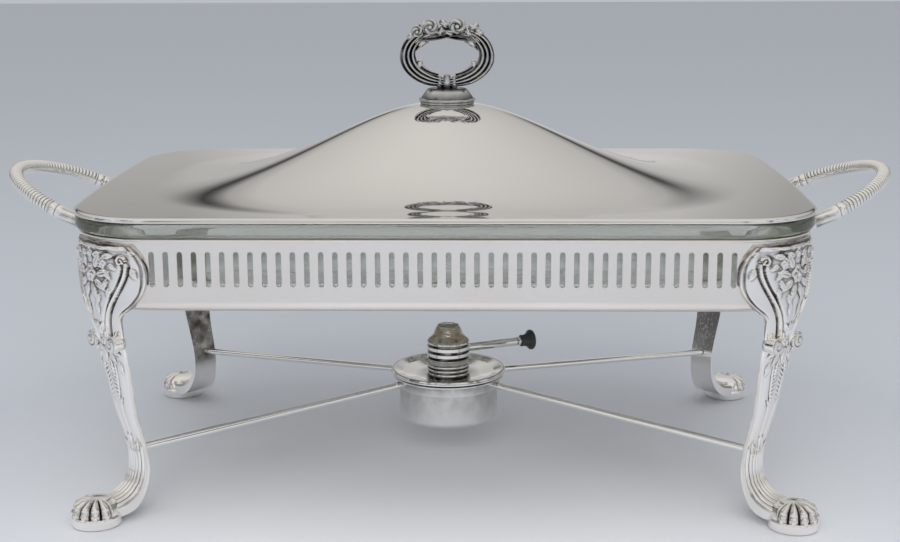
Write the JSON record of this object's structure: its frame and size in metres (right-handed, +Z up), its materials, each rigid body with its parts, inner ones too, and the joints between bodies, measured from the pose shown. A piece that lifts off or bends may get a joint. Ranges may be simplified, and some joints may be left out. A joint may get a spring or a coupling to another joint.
{
  "type": "chafing dish",
  "caption": "Rectangular silver-plated chafing dish: pierced tray on four cast legs, glass liner, domed lift-off lid with loop finial, and a spirit burner in a ring on rods.",
  "frame": {"origin": "on the table, midway between the four feet, at the bottom centre of the bounding box", "axes": "+X along the tray towards the right handle, +Y to the back, +Z up"},
  "size_m": [0.5066, 0.256, 0.2593],
  "materials": {
    "silver_plate": "polished silver plate with fine scuffs",
    "polished_silver_plate": "mirror polished silver plate",
    "cast_silver_plate": "bright silver plate on cast relief, with tarnish in the recesses",
    "antique_silver_plate": "darkened antique silver plate",
    "burner_steel": "bright nickel-plated steel, slightly yellowed",
    "steel_hardware": "plain zinc-plated steel",
    "clear_glass": "clear pressed glass with a green cast at its edge",
    "cotton_wick": "plain cotton",
    "dark_knob": "dark greenish black, satin"
  },
  "bodies": {
    "tray_frame": {"gallery_frame": "silver_plate", "gallery_rim": "silver_plate", "leg_front_left": "cast_silver_plate", "leg_front_right": "cast_silver_plate", "leg_back_left": "cast_silver_plate", "leg_back_right": "cast_silver_plate", "handle_collar_front_left": "cast_silver_plate", "handle_collar_front_right": "cast_silver_plate", "handle_collar_back_left": "cast_silver_plate", "handle_collar_back_right": "cast_silver_plate", "handle_grip_left": "cast_silver_plate", "handle_grip_right": "cast_silver_plate", "burner_ring": "burner_steel", "burner_rod_front_left": "burner_steel", "burner_rod_front_right": "burner_steel", "burner_rod_back_left": "burner_steel", "burner_rod_back_right": "burner_steel"},
    "dish": {"glass_dish": "clear_glass"},
    "lid": {"lid_shell": "polished_silver_plate", "lid_edge_bead": "polished_silver_plate", "finial_base": "antique_silver_plate", "finial_loop": "antique_silver_plate", "finial_stud": "steel_hardware", "finial_washer": "steel_hardware", "finial_nut": "steel_hardware"},
    "burner": {"burner_cup": "burner_steel", "burner_cap": "burner_steel", "wick_tube": "burner_steel", "wick": "cotton_wick", "vent_tower": "burner_steel"},
    "regulator": {"regulator_cone": "burner_steel", "regulator_arm": "burner_steel", "regulator_knob": "dark_knob"}
  },
  "joints": [
    {"name": "dish_lift", "type": "slide", "parent": "tray_frame", "child": "dish", "axis": [0, 0, 1], "range_m": [0, 0.08]},
    {"name": "lid_lift", "type": "slide", "parent": "dish", "child": "lid", "axis": [0, 0, 1], "range_m": [0, 0.12]},
    {"name": "burner_lift", "type": "slide", "parent": "tray_frame", "child": "burner", "axis": [0, 0, 1], "range_m": [0, 0.036]},
    {"name": "regulator_turn", "type": "hinge", "parent": "burner", "child": "regulator", "pos_m": [0, 0, 0.057], "axis": [0, 0, 1], "range_deg": [-45, 45]}
  ]
}
